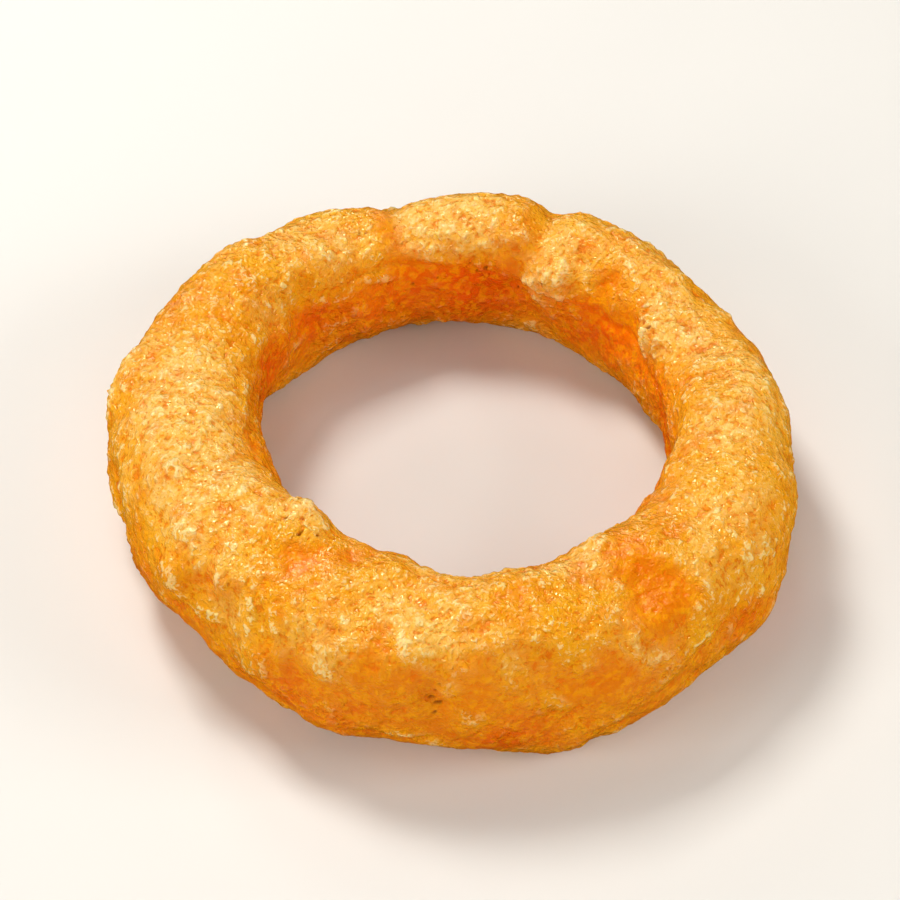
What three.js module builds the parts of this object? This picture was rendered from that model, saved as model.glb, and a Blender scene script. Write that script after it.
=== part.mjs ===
// One onion ring in fried batter, lying flat. Millimetres, +Z up.
// The whole ring is one solid: a thick, uneven tube of batter closed on itself round an open hole.
// The origin is at the middle of its footprint, at the height of the surface it rests on.
// Its heavier side, where the batter sagged as it cooked, is towards -Y, and its thin side towards +Y.
import * as THREE from "three";
import { mergeVertices } from "three/addons/utils/BufferGeometryUtils.js";

// How finely the surface is divided, round the ring and round the tube.
const STEPS_ROUND = 132;
const STEPS_OVER = 34;

// The tube at twelve places round the ring, every 30 degrees from +X towards +Y:
// middle is its distance from the ring's axis, wide its width across and tall its height.
const TUBE = [
  { middle: 30.2, wide: 15.4, tall: 18.2 },
  { middle: 30.6, wide: 12.3, tall: 17.4 },
  { middle: 33.1, wide: 12.6, tall: 17.2 },
  { middle: 34.3, wide: 12.4, tall: 17.2 },
  { middle: 34.8, wide: 13.8, tall: 17.6 },
  { middle: 34.9, wide: 15.2, tall: 19.0 },
  { middle: 32.8, wide: 18.0, tall: 20.2 },
  { middle: 31.0, wide: 17.2, tall: 21.0 },
  { middle: 30.2, wide: 17.4, tall: 21.0 },
  { middle: 30.2, wide: 17.8, tall: 21.2 },
  { middle: 30.6, wide: 17.6, tall: 20.8 },
  { middle: 30.2, wide: 16.6, tall: 19.4 },
];
const SQUARENESS = 2.3; // of the tube's section: 2 is an ellipse, and more is boxier
const SETTLED = 0.6; // how much of the underside is pressed flat
const WELD = 0.001; // points closer than this are one

// Gentle waves all over the batter: how many go round the ring and round the tube,
// where the first crest is in degrees, and how high they are.
const WAVES = [
  { round: 3, over: 1, crest: 40, high: 0.35 },
  { round: 5, over: -2, crest: 160, high: 0.3 },
  { round: 8, over: 3, crest: 290, high: 0.22 },
  { round: 11, over: -1, crest: 75, high: 0.18 },
  { round: 14, over: 2, crest: 210, high: 0.14 },
];

// Lumps of batter, and hollows where high is below 0. at is the way round the ring and roll
// the way round the tube, where 0 faces out, 90 up and 180 into the hole, both in degrees.
// long is a lump's reach round the ring, and over its reach round the tube.
const LUMPS = [
  { at: 87, roll: 90, long: 6, over: 5, high: 1.2 }, // lobe across the thin side
  { at: 105, roll: 92, long: 1.6, over: 6, high: -1.2 }, // its two creases
  { at: 74, roll: 84, long: 1.4, over: 6, high: -1.1 },
  { at: 106, roll: 46, long: 7, over: 4.5, high: -1.6 }, // flat stretch beside it
  { at: 70, roll: 146, long: 2.8, over: 2.6, high: 1.1 }, // crusty blisters
  { at: 35, roll: 128, long: 2.6, over: 2.4, high: 0.9 },
  { at: 64, roll: 96, long: 3.5, over: 2.5, high: 0.8 },
  { at: 8, roll: 120, long: 5, over: 2.5, high: 0.7 },
  { at: 328, roll: 350, long: 5, over: 5, high: 1.5 }, // corners of the outline
  { at: 246, roll: 330, long: 3.4, over: 4, high: 1.0 },
  { at: 288, roll: 338, long: 4.5, over: 5, high: 1.4 },
  { at: 205, roll: 348, long: 5.5, over: 5, high: 1.5 },
  { at: 225, roll: 113, long: 3.2, over: 2.8, high: 1.2 }, // knob beside the hole
  { at: 231, roll: 86, long: 3.2, over: 2.2, high: -0.9 }, // dip below it
  { at: 236, roll: 150, long: 4, over: 4, high: 0.6 },
  { at: 250, roll: 104, long: 3.6, over: 2.6, high: 1 },
  { at: 198, roll: 70, long: 2.6, over: 2.6, high: 0.7 },
  { at: 212, roll: 22, long: 2.6, over: 2.4, high: 0.9 },
  { at: 222, roll: 46, long: 2.6, over: 2.4, high: 0.8 },
  { at: 234, roll: 8, long: 3.2, over: 3, high: 1 },
  { at: 264, roll: 10, long: 1.5, over: 5.5, high: -1.1 }, // cleft in the heavy side
  { at: 256, roll: 40, long: 5, over: 3.5, high: 0.8 },
  { at: 308, roll: 78, long: 5, over: 4, high: -0.8 },
  { at: 308, roll: 26, long: 4, over: 4, high: 0.8 },
  { at: 142, roll: 156, long: 3, over: 2.6, high: 1 },
  { at: 165, roll: 40, long: 6, over: 4, high: 0.8 },
  { at: 130, roll: 15, long: 5, over: 4, high: -0.6 },
  { at: 20, roll: 20, long: 5, over: 4, high: 0.6 },
  { at: 82, roll: 30, long: 3.5, over: 4, high: 0.7 },
  { at: 60, roll: 350, long: 4, over: 4, high: 0.8 },
  { at: 180, roll: 350, long: 4, over: 4, high: 0.6 },
];

const TURN = 2 * Math.PI;
const radians = THREE.MathUtils.degToRad;

// The tube's middle, half width and half height at an angle round the ring, on a smooth closed
// curve through the twelve places.
function tubeAt(angle) {
  const place = ((angle / TURN + 1) % 1) * TUBE.length;
  const first = Math.floor(place);
  const along = place - first;
  const near = [-1, 0, 1, 2].map((k) => TUBE[(first + k + TUBE.length) % TUBE.length]);
  const smooth = (key) => {
    const [a, b, c, d] = near.map((tube) => tube[key]);
    return (
      b +
      0.5 * along * (c - a + along * (2 * a - 5 * b + 4 * c - d + along * (3 * (b - c) + d - a)))
    );
  };
  return { middle: smooth("middle"), halfWide: smooth("wide") / 2, halfTall: smooth("tall") / 2 };
}

// The shortest turn from one angle to another, from minus half a turn to half a turn.
function turnBetween(from, to) {
  return THREE.MathUtils.euclideanModulo(to - from + TURN / 2, TURN) - TURN / 2;
}

// How far the batter stands proud of the smooth tube there.
function swelling(angle, roll, tube) {
  let sum = 0;
  for (const wave of WAVES) {
    sum += wave.high * Math.cos(wave.round * angle + wave.over * roll - radians(wave.crest));
  }
  const girth = (tube.halfWide + tube.halfTall) / 2;
  for (const lump of LUMPS) {
    const along = (turnBetween(radians(lump.at), angle) * tube.middle) / lump.long;
    const over = (turnBetween(radians(lump.roll), roll) * girth) / lump.over;
    sum += lump.high * Math.exp(-along * along - over * over);
  }
  return sum;
}

// A side of the rounded-box section: a cosine or a sine, made squarer.
function squared(share) {
  return Math.sign(share) * Math.abs(share) ** (2 / SQUARENESS);
}

// The point of the surface at an angle round the ring and a roll round the tube.
function surfacePoint(angle, roll) {
  const tube = tubeAt(angle);
  const outward = new THREE.Vector2(
    Math.cos(roll) * tube.halfTall,
    Math.sin(roll) * tube.halfWide,
  ).normalize();
  const proud = swelling(angle, roll, tube);
  const radius = tube.middle + tube.halfWide * squared(Math.cos(roll)) + proud * outward.x;
  const height = tube.halfTall * (1 + squared(Math.sin(roll))) - SETTLED + proud * outward.y;
  return new THREE.Vector3(
    radius * Math.cos(angle),
    radius * Math.sin(angle),
    Math.max(height, 0),
  );
}

// A plain torus carries the grid, and each of its points moves to its place on the ring.
function ringGeometry() {
  const [carrierRadius, carrierTube] = [2, 1];
  const torus = new THREE.TorusGeometry(carrierRadius, carrierTube, STEPS_OVER, STEPS_ROUND);
  const grid = torus.getAttribute("position");
  for (let i = 0; i < grid.count; i++) {
    const angle = Math.atan2(grid.getY(i), grid.getX(i));
    const fromAxis = Math.hypot(grid.getX(i), grid.getY(i));
    const roll = Math.atan2(grid.getZ(i), fromAxis - carrierRadius);
    const point = surfacePoint(angle, roll);
    grid.setXYZ(i, point.x, point.y, point.z);
  }
  torus.deleteAttribute("normal");
  torus.deleteAttribute("uv");
  const ring = mergeVertices(torus, WELD);
  ring.computeBoundingBox();
  const middle = ring.boundingBox.getCenter(new THREE.Vector3());
  ring.translate(-middle.x, -middle.y, 0);
  ring.computeVertexNormals();
  return ring;
}

const batter = new THREE.MeshStandardMaterial({
  color: 0xe9a23c,
  roughness: 0.5,
  metalness: 0,
});

const ring = new THREE.Mesh(ringGeometry(), batter);
ring.name = "onion_ring";

const onionRing = new THREE.Group();
onionRing.add(ring);

export default onionRing;
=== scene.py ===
"""One onion ring in fried batter, lying flat on a pale table.

The ring is worked out in millimetres, +Z up, and put into its mesh in metres. A place on it is
two angles: at, the way round the ring from +X towards +Y, and roll, the way round its tube,
where 0 faces out, 90 up and 180 into the hole. The heavier side is towards -Y.
"""
from itertools import product

import bpy
import numpy as np
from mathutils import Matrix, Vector


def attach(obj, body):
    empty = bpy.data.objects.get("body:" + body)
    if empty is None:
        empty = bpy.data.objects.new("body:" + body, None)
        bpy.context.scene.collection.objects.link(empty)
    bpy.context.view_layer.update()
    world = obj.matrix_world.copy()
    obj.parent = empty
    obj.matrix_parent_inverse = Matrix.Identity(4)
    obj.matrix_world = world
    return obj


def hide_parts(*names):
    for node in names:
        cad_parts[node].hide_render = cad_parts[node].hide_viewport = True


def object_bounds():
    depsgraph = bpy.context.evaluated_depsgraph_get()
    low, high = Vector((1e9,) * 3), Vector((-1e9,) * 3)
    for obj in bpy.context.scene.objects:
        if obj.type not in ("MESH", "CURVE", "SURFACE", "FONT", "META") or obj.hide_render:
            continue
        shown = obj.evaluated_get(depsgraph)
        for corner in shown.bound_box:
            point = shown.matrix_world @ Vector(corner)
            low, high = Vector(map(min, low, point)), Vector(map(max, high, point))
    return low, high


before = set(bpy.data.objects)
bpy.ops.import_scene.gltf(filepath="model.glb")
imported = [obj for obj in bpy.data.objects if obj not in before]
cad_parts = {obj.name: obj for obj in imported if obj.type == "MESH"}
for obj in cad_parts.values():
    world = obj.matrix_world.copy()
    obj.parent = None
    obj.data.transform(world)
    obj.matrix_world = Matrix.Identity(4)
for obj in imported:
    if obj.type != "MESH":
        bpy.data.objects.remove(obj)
cad_low, cad_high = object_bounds()

MM = 0.001
TURN = 2 * np.pi

# ---------------------------------------------------------------- the ring's form

ROUND, OVER = 600, 166  # grid steps round the ring and round the tube
CROWDING = 0.12  # how much closer the steps lie on top than underneath

# The tube every 30 degrees: its distance from the ring's axis, width across and height.
TUBE = np.array([
    (30.2, 15.4, 18.2), (30.6, 12.3, 17.4), (33.1, 12.6, 17.2), (34.3, 12.4, 17.2),
    (34.8, 13.8, 17.6), (34.9, 15.2, 19.0), (32.8, 18.0, 20.2), (31.0, 17.2, 21.0),
    (30.2, 17.4, 21.0), (30.2, 17.8, 21.2), (30.6, 17.6, 20.8), (30.2, 16.6, 19.4),
])
SQUARENESS = 2.3  # of the tube's section: 2 is an ellipse, and more is boxier
SETTLED = 0.6  # how much of the underside is pressed flat
USUAL_MIDDLE = 31  # the tube's usual distance from the ring's axis

# Gentle waves: how many go round the ring and round the tube, first crest in degrees, height.
WAVES = [(3, 1, 40, 0.35), (5, -2, 160, 0.3), (8, 3, 290, 0.22), (11, -1, 75, 0.18),
         (14, 2, 210, 0.14)]

# Lumps and hollows: at, roll, reach round the ring, reach round the tube, height.
LUMPS = [
    (87, 90, 6, 5, 1.2),  # lobe across the thin side, its two creases, and a flat stretch
    (105, 92, 1.6, 6, -1.2), (74, 84, 1.4, 6, -1.1), (106, 46, 7, 4.5, -1.6),
    (70, 146, 2.8, 2.6, 1.1), (35, 128, 2.6, 2.4, 0.9),  # crusty blisters
    (64, 96, 3.5, 2.5, 0.8), (8, 120, 5, 2.5, 0.7),
    (328, 350, 5, 5, 1.5), (246, 330, 3.4, 4, 1.0),  # corners of the outline
    (288, 338, 4.5, 5, 1.4), (205, 348, 5.5, 5, 1.5),
    (225, 113, 3.2, 2.8, 1.2), (231, 86, 3.2, 2.2, -0.9),  # knob by the hole, and its dip
    (236, 150, 4, 4, 0.6), (250, 104, 3.6, 2.6, 1), (198, 70, 2.6, 2.6, 0.7),
    (212, 22, 2.6, 2.4, 0.9), (222, 46, 2.6, 2.4, 0.8), (234, 8, 3.2, 3, 1),
    (264, 10, 1.5, 5.5, -1.1),  # cleft in the heavy side
    (256, 40, 5, 3.5, 0.8), (308, 78, 5, 4, -0.8), (308, 26, 4, 4, 0.8),
    (142, 156, 3, 2.6, 1), (165, 40, 6, 4, 0.8), (130, 15, 5, 4, -0.6),
    (20, 20, 5, 4, 0.6), (82, 30, 3.5, 4, 0.7), (60, 350, 4, 4, 0.8), (180, 350, 4, 4, 0.6),
]


def grid_angles():
    """The two angles of every grid point. at is even, and roll = s + CROWDING cos s for s even
    round the tube, so a step is 1 - CROWDING sin s long: shortest on top."""
    at = np.linspace(0, TURN, ROUND, endpoint=False)
    even = np.linspace(0, TURN, OVER, endpoint=False)
    return np.meshgrid(at, even + CROWDING * np.cos(even), indexing="ij")


def tube_at(at):
    """The tube's middle, half width and half height: a Catmull-Rom curve, closed, through TUBE.
    Between stations b and c: b + t/2 (c - a + t (2a - 5b + 4c - d + t (3(b - c) + d - a)))."""
    place = (at / TURN % 1) * len(TUBE)
    first = np.floor(place).astype(int)
    t = (place - first)[..., None]
    a, b, c, d = (TUBE[(first + k) % len(TUBE)] for k in (-1, 0, 1, 2))
    tube = b + t / 2 * (c - a + t * (2 * a - 5 * b + 4 * c - d + t * (3 * (b - c) + d - a)))
    return tube[..., 0], tube[..., 1] / 2, tube[..., 2] / 2


def turn_between(start, end):
    """The shortest turn from one angle to another, from minus to plus half a turn."""
    return (end - start + TURN / 2) % TURN - TURN / 2


def reach_from(spot_at, spot_roll, at, roll):
    """How far each point lies from a spot, in mm: round the ring and round the tube."""
    middle, half_wide, half_tall = tube_at(at)
    along = turn_between(np.radians(spot_at), at) * middle
    over = turn_between(np.radians(spot_roll), roll) * (half_wide + half_tall) / 2
    return along, over


def swelling(at, roll):
    """How far the batter stands proud of the smooth tube: the sum of the waves,
    high cos(round at + over roll - crest), and the lumps, high exp(-along^2 - over^2)."""
    proud = np.zeros_like(at)
    for rounds, overs, crest, high in WAVES:
        proud += high * np.cos(rounds * at + overs * roll - np.radians(crest))
    for spot_at, spot_roll, long, wide, high in LUMPS:
        along, over = reach_from(spot_at, spot_roll, at, roll)
        proud += high * np.exp(-(along / long) ** 2 - (over / wide) ** 2)
    return proud


def squared(share):
    """A side of the rounded-box section: sign(s) |s|^(2 / SQUARENESS)."""
    return np.sign(share) * np.abs(share) ** (2 / SQUARENESS)


def ring_form(at, roll):
    """The ring before its fine relief. In the tube's section, with c = cos roll, s = sin roll:
    radius = middle + wide squared(c) + proud n_out, z = tall (1 + squared(s)) - SETTLED
    + proud n_up, where (n_out, n_up) is (c tall, s wide) made 1 long."""
    middle, wide, tall = tube_at(at)
    out, up = np.cos(roll) * tall, np.sin(roll) * wide
    proud = swelling(at, roll) / np.hypot(out, up)
    radius = middle + wide * squared(np.cos(roll)) + proud * out
    height = tall * (1 + squared(np.sin(roll))) - SETTLED + proud * up
    return np.stack([radius * np.cos(at), radius * np.sin(at), height], -1)


def normals_of(place):
    """Outward unit normals of a closed grid: the cross product of its two central differences."""
    along = np.roll(place, -1, 0) - np.roll(place, 1, 0)
    over = np.roll(place, -1, 1) - np.roll(place, 1, 1)
    normal = np.cross(along, over)
    return normal / np.linalg.norm(normal, axis=-1, keepdims=True)


# ---------------------------------------------------------------- noise

def drawn(cell, salt):
    """A number from 0 to 1 for each whole-number cell: its coordinates times three large
    primes, xor-ed with the salt's, then stirred by shifts and multiplications."""
    x, y, z = ((cell[..., k].astype(np.int64) & 0xFFFFFFFF).astype(np.uint32) for k in range(3))
    key = x * np.uint32(73856093) ^ y * np.uint32(19349663) ^ z * np.uint32(83492791)
    key = key ^ np.uint32(salt * 2654435761 % 2**32)
    for shift, factor in ((16, 0x7FEB352D), (15, 0x846CA68B), (16, 0x9E3779B1)):
        key = (key ^ (key >> np.uint32(shift))) * np.uint32(factor)
    return (key ^ (key >> np.uint32(16))) / 2**32


def noise(place, size, salt):
    """Smooth noise from about -1 to 1 with bumps about size across. Each corner of a lattice
    cell has a random slope, and they are blended by 6t^5 - 15t^4 + 10t^3. The salt picks the
    pattern, as it does in the functions below."""
    cell = np.floor(place / size)
    part = place / size - cell
    blend = part**3 * (part * (part * 6 - 15) + 10)
    total = np.zeros(place.shape[:-1])
    for corner in product((0, 1), repeat=3):
        slope = np.stack([drawn(cell + corner, salt * 3 + k) for k in range(3)], -1) * 2 - 1
        weight = np.prod(np.where(corner, blend, 1 - blend), -1)
        total += weight * ((part - corner) * slope).sum(-1)
    to_full_range = 1.6
    return total * to_full_range


def layered(place, size, salt, layers):
    """Layers of noise, each half the size and half the height of the last."""
    return sum(noise(place, size / 2**k, salt + k) / 2**k for k in range(layers))


def seeds_near(place, size, salt):
    """The nearest scattered seed, one in each lattice cell: its distance in cells, and its own
    number from 0 to 1."""
    cell = np.floor(place / size)
    nearest = np.full(place.shape[:-1], np.inf)
    own = np.zeros_like(nearest)
    for step in product((-1, 0, 1), repeat=3):
        near = cell + step
        seed = near + np.stack([drawn(near, salt * 4 + k) for k in range(3)], -1)
        far = np.linalg.norm(place / size - seed, axis=-1)
        own = np.where(far < nearest, drawn(near, salt * 4 + 3), own)
        nearest = np.minimum(far, nearest)
    return nearest, own


def step_up(low, high, value):
    """0 at low and 1 at high, whichever is larger, level beyond them, and 3t^2 - 2t^3 between."""
    t = np.clip((value - low) / (high - low), 0, 1)
    return t * t * (3 - 2 * t)


def smoothed(height, times):
    """Each point moved to the mean of itself and its four neighbours, so many times over."""
    for _ in range(times):
        height = (height + np.roll(height, 1, 0) + np.roll(height, -1, 0)
                  + np.roll(height, 1, 1) + np.roll(height, -1, 1)) / 5
    return height


# ---------------------------------------------------------------- the crust's relief

# Spots, each at, roll, reach round the ring, reach round the tube (mm) and strength.
SMOOTH = [  # where the batter stayed smooth, clear and amber
    (308, 92, 3.4, 6, 0.9), (309, 62, 4, 5, 0.7), (232, 88, 3.4, 2.2, 1.0), (240, 106, 2.5, 2, 0.6),
    (107, 104, 2.2, 5, 0.8), (98, 142, 7, 1.8, 0.6), (55, 114, 3, 4, 0.6), (48, 150, 7, 4, 0.7),
    (275, 22, 11, 4, 0.7), (298, 30, 6, 5, 0.6), (252, 22, 5, 4, 0.6), (222, 30, 4, 3, 0.5),
    (214, 62, 3, 3, 0.5), (74, 112, 2.4, 4, 0.7), (160, 14, 8, 4, 0.5), (20, 10, 8, 4, 0.5),
]
PALE_AND_HIGHLIGHTED = [  # where the crust is driest and palest, and painted paler as highlight where the upper face catches most light
    (188, 80, 9, 5, 1.0), (170, 96, 6, 4, 0.6), (70, 154, 3.0, 2.6, 1.4), (35, 132, 3.0, 2.6, 1.2),
    (225, 112, 3.2, 2.4, 1.1), (262, 66, 5, 3, 0.45), (255, 122, 6, 2, 0.6), (352, 100, 6, 3, 0.6),
    (6, 70, 7, 4, 0.5), (92, 100, 6, 4, 0.9), (205, 60, 4, 3, 0.5), (290, 112, 6, 2, 0.5),
    (300, 20, 5, 3, 0.3), (240, 50, 4, 3, 0.4), (335, 80, 5, 4, 0.4),
    (98, 118, 6, 3.5, 1.0), (66, 118, 4, 3, 0.6), (222, 40, 7, 5, 0.35),
    (28, 92, 8, 4, 0.6), (52, 84, 6, 3, 0.4), (200, 100, 7, 4, 0.5), (122, 96, 7, 4, 0.4),
]
TOASTED = [  # where it browned most
    (63, 103, 3, 1.5, 0.6), (322, 6, 4, 2.5, 0.7), (240, 350, 5, 3, 0.6), (276, 345, 8, 3, 0.5),
    (205, 350, 6, 3, 0.5), (95, 158, 9, 2.5, 0.5), (150, 160, 5, 2, 0.4), (120, 20, 5, 3, 0.3),
    (30, 345, 6, 3, 0.4), (340, 340, 6, 3, 0.4),
]
CRUSTY = [  # rough mounds of burst bubbles
    (70, 154, 2.6, 2.2, 1.0), (67, 140, 1.6, 1.6, 0.6), (35, 132, 2.7, 2.4, 1.0),
    (40, 122, 1.6, 1.5, 0.5), (225, 115, 3.0, 2.2, 0.5), (220, 118, 1.8, 1.6, 0.3),
    (231, 110, 1.6, 1.4, 0.3), (209, 46, 1.8, 1.8, 0.5), (262, 58, 2.5, 2, 0.4),
    (304, 126, 1.8, 1.5, 0.5), (142, 156, 2.0, 1.5, 0.6), (12, 60, 2.4, 2, 0.3),
    (330, 30, 2.4, 2, 0.4), (52, 25, 2.6, 2, 0.5), (104, 20, 2.4, 2, 0.4), (24, 2, 2.4, 2, 0.4),
    (172, 24, 2.4, 2, 0.4), (188, 345, 2.4, 2, 0.4), (30, 190, 2.6, 2.2, 0.5),
    (330, 188, 2.4, 2, 0.4), (180, 185, 2.4, 2, 0.4),
]
# Round, smooth-skinned bubbles: at, roll, radius, height.
BUBBLES = [
    (198, 72, 1.3, 0.5), (212, 18, 1.5, 0.45), (222, 12, 0.8, 0.3), (234, 6, 1.3, 0.4),
    (222, 42, 1.2, 0.35), (260, 47, 1.9, 0.35), (318, 5, 0.9, 0.4), (326, 12, 0.7, 0.3),
    (350, 108, 1.1, 0.25), (150, 10, 1.4, 0.35), (84, 30, 1.3, 0.4), (2, 338, 1.3, 0.4),
    (286, 8, 1.4, 0.3), (60, 5, 1.2, 0.4), (130, 345, 1.4, 0.4), (262, 178, 1.5, 0.35),
]
# Long creases where the batter folded: from, to, roll, width, depth.
FOLDS = [
    (82, 138, 149, 0.5, 0.4), (58, 104, 164, 0.45, 0.35), (100, 152, 171, 0.5, 0.35),
    (20, 60, 158, 0.5, 0.3), (150, 190, 152, 0.5, 0.3), (262, 268, 15, 0.5, 0.3),
    (208, 226, 8, 0.45, 0.35), (288, 322, 340, 0.5, 0.3), (340, 380, 335, 0.5, 0.3),
    (230, 275, 338, 0.5, 0.3), (120, 165, 330, 0.5, 0.3), (60, 100, 335, 0.5, 0.3),
]
# Pits where a bubble burst through, brown at the bottom: at, roll, radius, depth.
PITS = [
    (264, 19, 0.3, 0.2), (263.5, 13, 0.35, 0.3), (264.4, 9, 0.3, 0.35), (263.8, 3, 0.28, 0.3),
    (264.4, 26, 0.22, 0.2), (112, 102, 0.35, 0.25), (113.5, 100, 0.28, 0.2), (86, 150, 0.4, 0.3),
    (88, 154, 0.32, 0.25), (90, 148, 0.25, 0.2), (150, 174, 0.32, 0.3), (228, 99, 0.35, 0.4),
    (223, 101, 0.3, 0.35), (98, 160, 0.28, 0.2), (104, 166, 0.32, 0.25), (110, 160, 0.25, 0.2),
    (78, 168, 0.28, 0.25), (71, 150, 0.35, 0.3), (36, 129, 0.35, 0.3),
    (231, 106, 0.28, 0.3), (226, 107, 0.25, 0.3),
]


def spots_at(spots, at, roll):
    """The sum of soft spots, strength exp(-along^2 - over^2)."""
    total = np.zeros_like(at)
    for spot_at, spot_roll, long, wide, strength in spots:
        along, over = reach_from(spot_at, spot_roll, at, roll)
        total += strength * np.exp(-(along / long) ** 2 - (over / wide) ** 2)
    return total


def domes_at(spots, at, roll, place, power):
    """The tallest dome at each point, high (1 - d^2)^power, with an outline that noise bends."""
    ragged = 1 + 0.3 * noise(place, 1.1, 11)
    tallest = np.zeros_like(at)
    for spot_at, spot_roll, radius, high in spots:
        along, over = reach_from(spot_at, spot_roll, at, roll)
        share = np.hypot(along, over) / (radius * ragged)
        tallest = np.maximum(tallest, high * np.clip(1 - share**2, 0, 1) ** power)
    return tallest


def folds_at(folds, at, roll, place):
    """Creases that wander with noise: the sum of depth exp(-over^2 / width^2), each fading out
    over the last quarter of its length at either end."""
    wander = 2.2 * noise(place, 9, 15) + 0.7 * noise(place, 3, 16)
    total = np.zeros_like(at)
    for start, end, fold_roll, width, depth in folds:
        along, over = reach_from((start + end) / 2, fold_roll, at, roll)
        half_long = np.radians(end - start) / 2 * USUAL_MIDDLE
        fade = step_up(half_long, 0.5 * half_long, np.abs(along))
        total += depth * fade * np.exp(-((over + wander) / width) ** 2)
    return total


def batter_masks(at, roll, place):
    """How crusty, pale and toasted the batter is, each from 0 to 1: spots and patchy noise. Pale is
    partly painted highlight where the upper face catches most light. The wall inside the hole
    and the foot of the outer wall are less crusty and pale, and more orange, partly from
    browning and partly as painted shade. What isn't crust is smooth and amber, and only crust
    is pale."""
    inner = step_up(0.65, 1.05, -np.cos(roll))  # the wall inside the hole
    lower = step_up(0.45, -0.4, np.sin(roll)) * step_up(0.1, 0.8, np.cos(roll))  # the foot
    pale_and_highlight_spots = spots_at(PALE_AND_HIGHLIGHTED, at, roll)
    crust = (0.55 + 0.5 * layered(place, 5, 21, 4) + 0.5 * pale_and_highlight_spots + spots_at(CRUSTY, at, roll)
             - 0.8 * spots_at(SMOOTH, at, roll) - 0.4 * inner - 0.45 * lower)
    crust = step_up(-0.4, 0.9, crust)
    pale = 0.25 + 0.45 * layered(place, 8, 24, 3) + pale_and_highlight_spots - 0.5 * inner - 0.5 * lower
    toasted_and_shaded = 0.35 * layered(place, 9, 27, 3) + spots_at(TOASTED, at, roll)
    # Inside the hole and at the foot of the outer wall this orange is partly painted shade.
    toasted_and_shaded += 0.68 * inner + 0.2 * lower
    return crust, step_up(0.0, 1.0, pale) * crust, step_up(0.15, 1.1, toasted_and_shaded)


def crust_relief(at, roll, place, crust):
    """How far the fine crust stands out from the form, in mm: gentle unevenness, raised islands
    of crust covered in grains and crinkles, mounds of burst bubbles and round bubbles, less
    folds and pits. Its mean is 0 before the pits are taken off. A grain or a boiled bead is
    1 - (d / r)^2 about a scattered seed, and a crinkle is 0.4 - 2.2 |n|, sharp where the noise n
    crosses 0, both on places bent by more noise. The second value is the pits alone."""
    mound = np.clip(spots_at(CRUSTY, at, roll), 0, 1)
    bent = place + 0.5 * np.stack([noise(place, 2.2, salt) for salt in (31, 32, 33)], -1)
    crinkle = 0.4 - 2.2 * np.abs(noise(bent, 2.4, 41))
    crinkle += 0.6 * (0.4 - 2.2 * np.abs(noise(bent, 1.3, 42)))
    near, own = seeds_near(bent, 1.0, 51)
    grain = np.clip(1 - (near / (0.45 + 0.3 * own)) ** 2, 0, 1) * (0.5 + own)
    near, own = seeds_near(bent, 2.3, 52)
    boil = np.clip(1 - (near / (0.4 + 0.4 * own)) ** 2, 0, 1) * (0.4 + own)
    rough = step_up(-0.1, 0.5, layered(place, 7, 61, 2))
    relief = 0.45 * layered(place, 6.5, 71, 2) + 0.2 * layered(place, 3, 73, 2)  # unevenness
    relief += 0.3 * crust + 0.5 * mound
    relief += (0.02 + 0.05 * crust + 0.12 * mound) * crinkle
    relief += (0.02 + 0.13 * crust + 0.06 * rough * crust + 0.28 * mound) * grain
    relief += (0.03 + 0.16 * rough + 0.36 * mound) * boil
    relief += domes_at(BUBBLES, at, roll, place, 0.6) - folds_at(FOLDS, at, roll, place)
    pit = domes_at(PITS, at, roll, place, 1.0)
    return relief - relief.mean() - 1.4 * pit, pit


RELIEF_FROM = 1.6  # the height above the table at which the relief is whole
CREST_RISE = 0.5  # from a hollow's floor to a crest's top, in the finest relief
DEEP_PIT = 0.25  # a pit as deep as this is wholly brown


def ring_piece():
    """The whole ring: its form plus the relief along its normals, nothing below the table. Its
    crest mask is 0.5 + (relief - smoothed relief) / CREST_RISE."""
    at, roll = grid_angles()
    form = ring_form(at, roll)
    middle = (form.min((0, 1)) + form.max((0, 1))) / 2
    form = form - middle * (1, 1, 0)
    crust, pale, toasted_and_shaded = batter_masks(at, roll, form)
    relief, pit = crust_relief(at, roll, form, crust)
    fade = step_up(0.0, RELIEF_FROM, form[..., 2])
    place = form + (relief * fade)[..., None] * normals_of(form)
    place[..., 2] = np.maximum(place[..., 2], 0)
    fine = relief - smoothed(relief, 20)
    masks = {"crest": np.clip(0.5 + fine / CREST_RISE, 0, 1), "crust": smoothed(crust, 3),
             "pale": pale, "toasted_and_shaded": toasted_and_shaded, "pit": np.clip(pit / DEEP_PIT, 0, 1)}
    return mesh_of("fried_ring", place * MM, masks)


def mesh_of(name, place, masks):
    """A closed grid as a smooth mesh object, with each mask as a number on its points."""
    rows, columns = place.shape[:2]
    row, column = np.meshgrid(np.arange(rows), np.arange(columns), indexing="ij")
    next_row, next_column = (row + 1) % rows, (column + 1) % columns
    corners = np.stack([row * columns + column, next_row * columns + column,
                        next_row * columns + next_column, row * columns + next_column], -1)
    mesh = bpy.data.meshes.new(name)
    mesh.vertices.add(rows * columns)
    mesh.vertices.foreach_set("co", place.astype(np.float32).ravel())
    mesh.loops.add(corners.size)
    mesh.loops.foreach_set("vertex_index", corners.astype(np.int32).ravel())
    mesh.polygons.add(rows * columns)
    mesh.polygons.foreach_set("loop_start", np.arange(0, corners.size, 4, dtype=np.int32))
    mesh.update(calc_edges=True)
    mesh.shade_smooth()
    for mask, value in masks.items():
        layer = mesh.attributes.new(mask, "FLOAT", "POINT")
        layer.data.foreach_set("value", value.astype(np.float32).ravel())
    mesh.validate()
    piece = bpy.data.objects.new(name, mesh)
    bpy.context.scene.collection.objects.link(piece)
    return piece


# ---------------------------------------------------------------- materials

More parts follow.
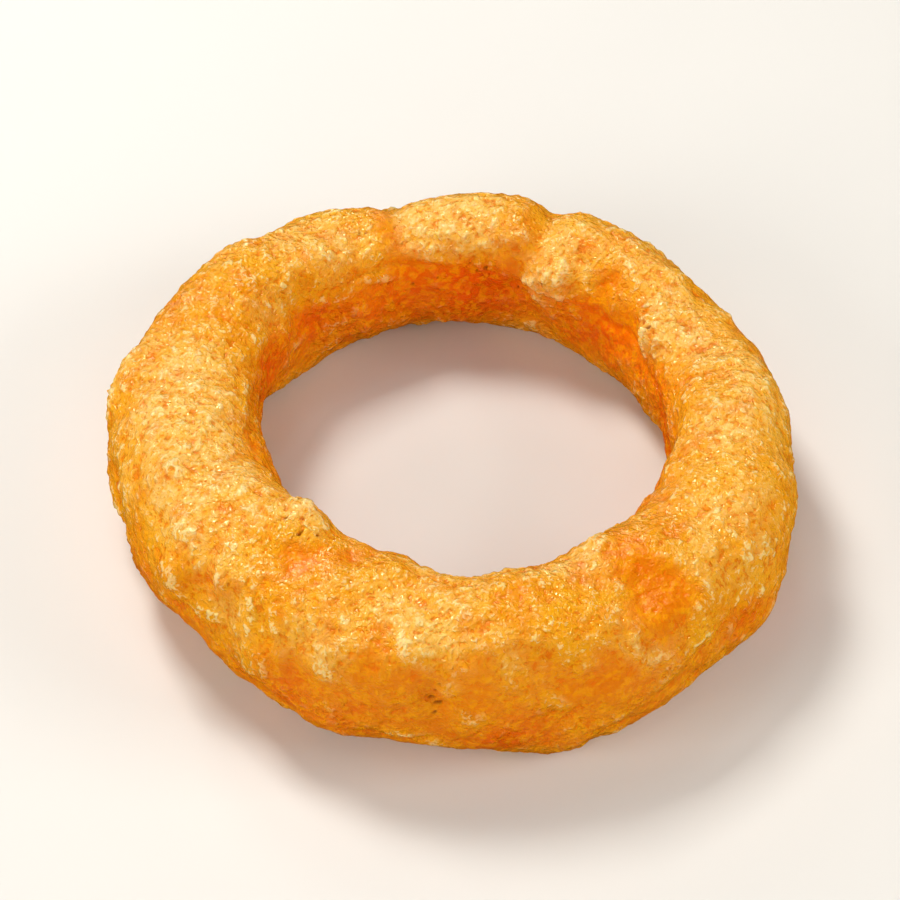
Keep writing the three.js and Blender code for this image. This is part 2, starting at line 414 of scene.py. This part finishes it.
def add(tree, kind, feeds=None, **settings):
    """Adds a node to a tree, with its settings, and feeds its sockets with values or sockets."""
    node = tree.nodes.new(kind)
    for name, value in settings.items():
        setattr(node, name, value)
    for name, value in (feeds or {}).items():
        if isinstance(value, bpy.types.NodeSocket):
            tree.links.new(value, node.inputs[name])
        else:
            node.inputs[name].default_value = value
    return node


def maths(tree, operation, *values):
    """A Math node's result."""
    return add(tree, "ShaderNodeMath", dict(enumerate(values)), operation=operation).outputs[0]


def between(tree, value, low, high, to_low=0.0, to_high=1.0):
    """A value's place between low and high, from to_low to to_high, smoothly."""
    feeds = {"Value": value, "From Min": low, "From Max": high, "To Min": to_low,
             "To Max": to_high}
    return add(tree, "ShaderNodeMapRange", feeds, interpolation_type="SMOOTHSTEP").outputs[0]


def mixed(tree, share, first, second):
    """Two colours mixed by a share. On a Mix node, the colours are sockets 6 and 7."""
    return add(tree, "ShaderNodeMix", {0: share, 6: first, 7: second}, data_type="RGBA").outputs[2]


def cloudy(tree, place, size):
    """A soft cloudy noise with clouds about size across, in metres."""
    feeds = {"Vector": place, "Scale": 1 / size, "Detail": 2.0, "Roughness": 0.6}
    return add(tree, "ShaderNodeTexNoise", feeds).outputs[0]


def colour(red, green, blue):
    """A colour from its 0 to 255 screen values, as the linear light that shaders use."""
    screen = np.array([red, green, blue]) / 255
    linear = np.where(screen <= 0.04045, screen / 12.92, ((screen + 0.055) / 1.055) ** 2.4)
    return (*linear.tolist(), 1.0)


def fresh_material(name):
    """An empty material and its node tree."""
    material = bpy.data.materials.new(name)
    material.use_nodes = True
    material.node_tree.nodes.clear()
    return material, material.node_tree


def new_group(name, inputs, outputs):
    """An empty shader node group with named inputs and outputs, each a (name, type) pair."""
    group = bpy.data.node_groups.new(name, "ShaderNodeTree")
    for way, sockets in (("INPUT", inputs), ("OUTPUT", outputs)):
        for socket, kind in sockets:
            group.interface.new_socket(socket, in_out=way, socket_type=kind)
    return group, group.nodes.new("NodeGroupInput"), group.nodes.new("NodeGroupOutput")


GRAIN_PUSH = 1.2 * MM
WRINKLE_DEPTH = 1.2


def grain_group():
    """Fine fried crumb: rounded grains, 1 - d^2 about scattered seeds, less wrinkles,
    WRINKLE_DEPTH |2n - 1| where a noise n leaves its middle. The same noise moves the seeds by
    up to GRAIN_PUSH. Size is a grain's width in metres."""
    group, given, result = new_group(
        "fine_grains",
        [("Place", "NodeSocketVector"), ("Size", "NodeSocketFloat")],
        [("Height", "NodeSocketFloat")],
    )
    scale = maths(group, "DIVIDE", 1.0, given.outputs["Size"])
    feeds = {"Vector": given.outputs["Place"], "Scale": scale, "Detail": 1.0}
    wave = add(group, "ShaderNodeTexNoise", feeds)
    wrinkle = maths(group, "ABSOLUTE", maths(group, "MULTIPLY_ADD", wave.outputs[0], 2.0, -1.0))
    push = maths(group, "MULTIPLY", wave.outputs[0], GRAIN_PUSH)
    bent = add(group, "ShaderNodeVectorMath", {0: given.outputs["Place"], 1: push})
    seeds = add(group, "ShaderNodeTexVoronoi", {"Vector": bent.outputs[0], "Scale": scale})
    far = seeds.outputs["Distance"]
    grain = maths(group, "SUBTRACT", 1.0, maths(group, "MULTIPLY", far, far))
    height = maths(group, "MULTIPLY_ADD", wrinkle, -WRINKLE_DEPTH, grain)
    group.links.new(height, result.inputs["Height"])
    return group


def batter_material():
    """Fried batter: deep clear amber where smooth, golden where crusty, orange where toasted, and
    brown in its specks and pits. How high a point stands in the crumb paints light and shade
    into the colour: painted highlight, paler, on high crests of pale batter, painted glints, near
    white, on the highest crests of dry crust, and painted shade, deeper orange, in the low places.
    The orange inside the hole and at the foot of the outer wall is partly painted shade. Oil
    makes all of it glisten."""
    material, tree = fresh_material("fried_batter")
    place = add(tree, "ShaderNodeTexCoord").outputs["Object"]
    crest, crust, pale, toasted_and_shaded, pit = (
        add(tree, "ShaderNodeAttribute", attribute_name=mask).outputs["Fac"]
        for mask in ("crest", "crust", "pale", "toasted_and_shaded", "pit")
    )
    grains = grain_group()
    fine, finer = (
        add(tree, "ShaderNodeGroup", {"Place": place, "Size": size}, node_tree=grains).outputs[0]
        for size in (1.15 * MM, 0.55 * MM)
    )
    clouds = cloudy(tree, place, 3.5 * MM)
    mottle = cloudy(tree, place, 1.1 * MM)

    # How high a point stands in the crumb, used below to paint light and shade into the colour.
    painted_light_level = maths(tree, "MULTIPLY_ADD", crest, 0.7, maths(tree, "MULTIPLY", finer, 0.55))
    painted_light_level = maths(tree, "MULTIPLY_ADD", fine, 0.5, painted_light_level)
    base = mixed(tree, crust, colour(228, 122, 0), colour(248, 172, 34))
    # Painted highlight: pale batter is painted paler still on the crumb's high crests.
    top = between(tree, painted_light_level, 0.65, 1.1, 0.35, 0.8)
    base = mixed(tree, maths(tree, "MULTIPLY", pale, top), base, colour(254, 206, 118))
    # Toasted orange, which inside the hole and at the foot of the outer wall is partly painted
    # shade.
    base = mixed(tree, maths(tree, "MULTIPLY", toasted_and_shaded, 0.9), base, colour(230, 80, 0))
    base = mixed(tree, between(tree, clouds, 0.48, 0.72, 0, 0.45), base, colour(228, 112, 0))
    base = mixed(tree, between(tree, mottle, 0.56, 0.36, 0, 0.5), base, colour(248, 168, 8))
    # Painted glints: the highest crests of dry crust are painted near white.
    dry = maths(tree, "MULTIPLY", between(tree, crust, 0.15, 0.9),
                maths(tree, "SUBTRACT", 1.0, toasted_and_shaded))
    painted_glint = maths(tree, "MULTIPLY", between(tree, painted_light_level, 1.05, 1.35, 0, 0.8), dry)
    base = mixed(tree, painted_glint, base, colour(255, 224, 152))
    # Painted shade: the low places between the crumbs are painted deeper orange.
    base = mixed(tree, between(tree, painted_light_level, 0.75, 0.4, 0, 0.6), base, colour(234, 106, 0))
    specks = add(tree, "ShaderNodeTexVoronoi", {"Vector": place, "Scale": 1 / (2.4 * MM)})
    chosen = maths(tree, "GREATER_THAN", specks.outputs["Color"], 0.9)
    spot = maths(tree, "MULTIPLY", between(tree, specks.outputs["Distance"], 0.12, 0.04), chosen)
    base = mixed(tree, maths(tree, "MULTIPLY", spot, 0.5), base, colour(172, 78, 4))
    base = mixed(tree, between(tree, pit, 0.1, 0.95, 0, 0.8), base, colour(132, 50, 4))

    rough = maths(tree, "MULTIPLY_ADD", mottle, 0.2, between(tree, crust, 0, 0.7, 0.3, 0.1))
    grain = maths(tree, "MULTIPLY", fine, between(tree, crust, 0, 0.8, 0.3, 0.8))
    grain = maths(tree, "MULTIPLY_ADD", finer, between(tree, crust, 0, 0.8, 0.2, 0.5), grain)
    bump = add(tree, "ShaderNodeBump", {"Height": grain, "Strength": 1.0, "Distance": 0.35 * MM})
    feeds = {"Base Color": base, "Roughness": rough, "Normal": bump.outputs[0],
             "Specular IOR Level": 0.35, "Specular Tint": colour(255, 220, 160),
             "Subsurface Weight": 0.25, "Subsurface Radius": (2.0, 0.9, 0.1),
             "Subsurface Scale": MM}
    shader = add(tree, "ShaderNodeBsdfPrincipled", feeds)
    add(tree, "ShaderNodeOutputMaterial", {"Surface": shader.outputs[0]})
    return material


def table_material():
    """A pale matt table top, very faintly uneven."""
    material, tree = fresh_material("pale_table")
    place = add(tree, "ShaderNodeTexCoord").outputs["Object"]
    clouds = add(tree, "ShaderNodeTexNoise", {"Vector": place, "Scale": 30.0}).outputs[0]
    base = mixed(tree, clouds, colour(222, 220, 216), colour(226, 224, 220))
    shader = add(tree, "ShaderNodeBsdfPrincipled", {"Base Color": base, "Roughness": 0.7})
    add(tree, "ShaderNodeOutputMaterial", {"Surface": shader.outputs[0]})
    return material


# ---------------------------------------------------------------- table, light and camera

TABLE_SIZE = 4.0  # metres
CAMERA_AWAY, CAMERA_LENS = 0.5, 172.0  # metres and millimetres
CAMERA_RISE = np.radians(48)  # above the horizon
RING_MIDDLE = (0, 0, 0.01)
LAMP_COLOUR = (1.0, 0.97, 0.92)
WORLD_LIGHT = 0.14  # how brightly the surroundings light the ring
BACKDROP_EXTRA = 0.7  # how much brighter they look to the camera


def lay_table():
    """A flat square at the ring's foot, too matt to be mirrored in the ring."""
    half = TABLE_SIZE / 2
    mesh = bpy.data.meshes.new("table")
    corners = [(-half, -half, 0), (half, -half, 0), (half, half, 0), (-half, half, 0)]
    mesh.from_pydata(corners, [], [(0, 1, 2, 3)])
    mesh.materials.append(table_material())
    table = bpy.data.objects.new("table", mesh)
    bpy.context.scene.collection.objects.link(table)
    table.visible_glossy = False


def aim(thing, place, target):
    """Puts a lamp or camera somewhere, looking at a target."""
    thing.location = place
    thing.rotation_euler = (Vector(target) - Vector(place)).to_track_quat("-Z", "Y").to_euler()


def soft_lamp(name, place, side, watts, glints=False):
    """A square lamp that faces the ring. One that glints is only seen mirrored in the oily crust,
    and any other only lights."""
    lamp = bpy.data.lights.new(name, "AREA")
    lamp.size = side
    lamp.energy = watts
    lamp.color = LAMP_COLOUR
    thing = bpy.data.objects.new(name, lamp)
    bpy.context.scene.collection.objects.link(thing)
    thing.visible_glossy = glints
    thing.visible_diffuse = not glints
    aim(thing, place, RING_MIDDLE)


def light_studio():
    """A soft lamp behind and to the left, weaker ones in front and at the sides, two that only
    glint, and pale surroundings, dim as a light and bright as a backdrop."""
    soft_lamp("key", (-0.26, 0.36, 0.6), 0.22, 4.2)
    soft_lamp("left", (-0.5, -0.3, 0.26), 0.3, 1.7)
    soft_lamp("right", (0.55, -0.1, 0.28), 0.3, 2.1)
    soft_lamp("front", (-0.05, -0.6, 0.4), 0.5, 1.4)
    soft_lamp("glint_left", (-0.28, 0.59, 0.38), 0.15, 6.5, glints=True)
    soft_lamp("glint_top", (-0.04, 0.3, 0.72), 0.15, 5.0, glints=True)
    world = bpy.data.worlds.new("studio")
    bpy.context.scene.world = world
    world.use_nodes = True
    world.cycles_visibility.glossy = False
    tree = world.node_tree
    seen = add(tree, "ShaderNodeLightPath").outputs["Is Camera Ray"]
    strength = maths(tree, "MULTIPLY_ADD", seen, BACKDROP_EXTRA, WORLD_LIGHT)
    back = tree.nodes["Background"]
    back.inputs["Color"].default_value = (1.0, 0.985, 0.96, 1)
    tree.links.new(strength, back.inputs["Strength"])
    bpy.context.scene.view_settings.view_transform = "Standard"


def place_camera():
    """A camera that looks along +Y and down on the ring's upper face, at its middle."""
    camera = bpy.data.cameras.new("camera")
    camera.lens = CAMERA_LENS
    camera.sensor_width = 36
    camera.clip_start, camera.clip_end = 0.01, 20
    thing = bpy.data.objects.new("camera", camera)
    bpy.context.scene.collection.objects.link(thing)
    target = (cad_low + cad_high) / 2
    back = Vector((0, -np.cos(CAMERA_RISE), np.sin(CAMERA_RISE)))
    aim(thing, target + back * CAMERA_AWAY, target)
    bpy.context.scene.camera = thing


ring = ring_piece()
ring.data.materials.append(batter_material())
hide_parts("onion_ring")
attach(ring, "root")

lay_table()
light_studio()
place_camera()
